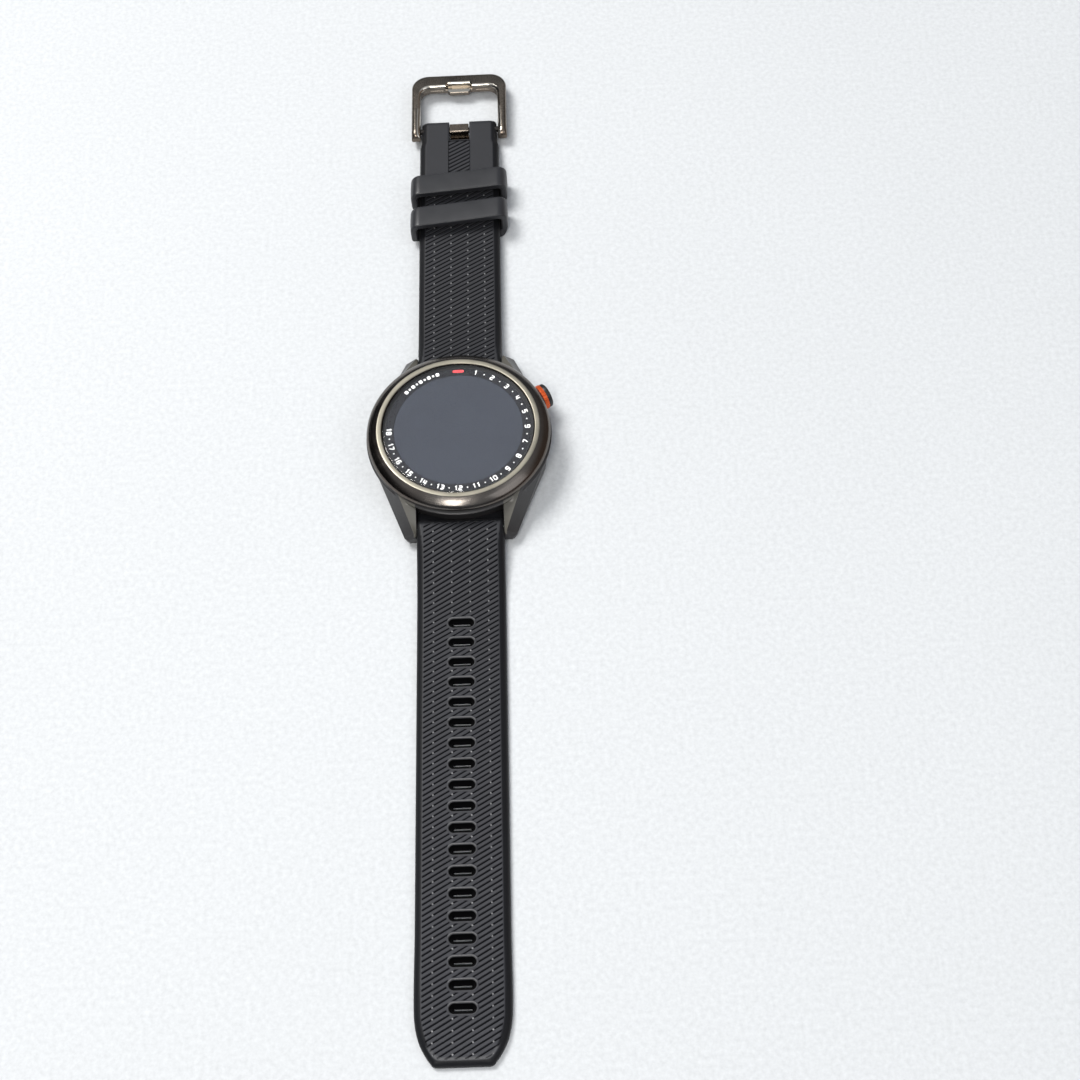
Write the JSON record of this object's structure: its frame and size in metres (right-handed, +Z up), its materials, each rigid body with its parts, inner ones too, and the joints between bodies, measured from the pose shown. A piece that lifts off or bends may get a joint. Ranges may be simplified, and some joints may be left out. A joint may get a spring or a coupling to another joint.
{
  "type": "golf gps watch",
  "caption": "Round wrist watch with a metal bezel, numbered dial border, side push button and a soft two-piece strap with sliding keepers and a pin buckle.",
  "frame": {"origin": "centre of the flat case back, on the surface the watch lies on", "axes": "+Z up out of the dial, +Y along the strap towards the buckle, +X towards the push button"},
  "size_m": [0.0443, 0.265, 0.0116],
  "materials": {
    "case_polymer": "matte",
    "bezel_metal": "satin",
    "lens_glass": "gloss",
    "black_print": "satin",
    "display_glass": "gloss",
    "white_film": "satin",
    "inner_plastic": "matte",
    "antenna_metal": "satin",
    "circuit_board": "satin",
    "shield_steel": "satin",
    "chip_black": "matte",
    "battery_foil": "satin",
    "foam": "matte",
    "tungsten": "satin",
    "gasket_rubber": "matte",
    "rear_polymer": "matte",
    "screw_steel": "satin",
    "gold_contact": "gloss",
    "button_black": "satin",
    "copper_accent": "satin",
    "stem_steel": "satin",
    "flex_film": "satin",
    "strap_silicone": "matte",
    "buckle_metal": "satin"
  },
  "bodies": {
    "case": {"mid_case": "case_polymer", "bezel": "bezel_metal", "lens": "lens_glass", "lens_gasket": "gasket_rubber", "dial_ring": "black_print", "display_module": "display_glass", "display_backlight": "white_film", "display_carrier": "inner_plastic", "gnss_antenna": "antenna_metal", "main_board": "circuit_board", "gnss_shield_can": "shield_steel", "radio_shield_can": "shield_steel", "processor_chip": "chip_black", "display_connector": "chip_black", "battery": "battery_foil", "battery_pad": "foam", "vibration_motor_can": "shield_steel", "rear_cover": "rear_polymer", "rear_cover_gasket": "gasket_rubber", "rear_cover_screws": "screw_steel", "contact_block": "inner_plastic", "charging_contacts": "gold_contact", "button_bushing": "stem_steel", "button_switch": "chip_black", "button_flex": "flex_film", "button_spring": "screw_steel"},
    "motor_weight": {"vibration_motor_weight": "tungsten"},
    "button": {"button_cap": "button_black", "button_accent_ring": "copper_accent", "button_stem": "stem_steel", "button_o_ring": "gasket_rubber", "button_retaining_clip": "screw_steel"},
    "long_strap": {"strap_long": "strap_silicone", "lower_spring_bar_tube": "screw_steel", "lower_spring_bar_tip": "screw_steel", "lower_spring_bar_coil": "screw_steel"},
    "short_strap": {"strap_short": "strap_silicone", "upper_spring_bar_tube": "screw_steel", "upper_spring_bar_tip": "screw_steel", "upper_spring_bar_coil": "screw_steel"},
    "lower_release": {"lower_release_plunger": "screw_steel"},
    "upper_release": {"upper_release_plunger": "screw_steel"},
    "keeper_near": {"keeper_near": "strap_silicone"},
    "keeper_far": {"keeper_far": "strap_silicone"},
    "buckle": {"buckle_frame": "buckle_metal", "buckle_pin": "buckle_metal"},
    "tongue": {"buckle_tongue": "buckle_metal"}
  },
  "joints": [
    {"name": "motor_spin", "type": "hinge", "parent": "case", "child": "motor_weight", "pos_m": [0.0109, -0.0056, 0.0033], "axis": [0, 0, 1], "continuous": true},
    {"name": "button_press", "type": "slide", "parent": "case", "child": "button", "axis": [-0.866, -0.5, 0], "range_m": [0, 0.00045], "stiffness_N_per_m": 1500, "springref_m": -0.0006, "deforming": ["button_spring"]},
    {"name": "long_strap_hinge", "type": "hinge", "parent": "case", "child": "long_strap", "pos_m": [0, -0.0227, 0.0032], "axis": [1, 0, 0], "range_deg": [-20, 75]},
    {"name": "short_strap_hinge", "type": "hinge", "parent": "case", "child": "short_strap", "pos_m": [0, 0.0227, 0.0032], "axis": [-1, 0, 0], "range_deg": [-20, 75]},
    {"name": "lower_release_slide", "type": "slide", "parent": "long_strap", "child": "lower_release", "axis": [1, 0, 0], "range_m": [0, 0.0012], "stiffness_N_per_m": 300, "springref_m": -0.002, "deforming": ["lower_spring_bar_coil"]},
    {"name": "upper_release_slide", "type": "slide", "parent": "short_strap", "child": "upper_release", "axis": [1, 0, 0], "range_m": [0, 0.0012], "stiffness_N_per_m": 300, "springref_m": -0.002, "deforming": ["upper_spring_bar_coil"]},
    {"name": "keeper_near_slide", "type": "slide", "parent": "short_strap", "child": "keeper_near", "axis": [0, 1, 0], "range_m": [-0.025, 0.0035]},
    {"name": "keeper_far_slide", "type": "slide", "parent": "short_strap", "child": "keeper_far", "axis": [0, 1, 0], "range_m": [-0.0035, 0.0025]},
    {"name": "buckle_hinge", "type": "hinge", "parent": "short_strap", "child": "buckle", "pos_m": [0, 0.0978, 0.00295], "axis": [-1, 0, 0], "range_deg": [-110, 80]},
    {"name": "tongue_hinge", "type": "hinge", "parent": "short_strap", "child": "tongue", "pos_m": [0, 0.0978, 0.00295], "axis": [1, 0, 0], "range_deg": [0, 177]}
  ]
}
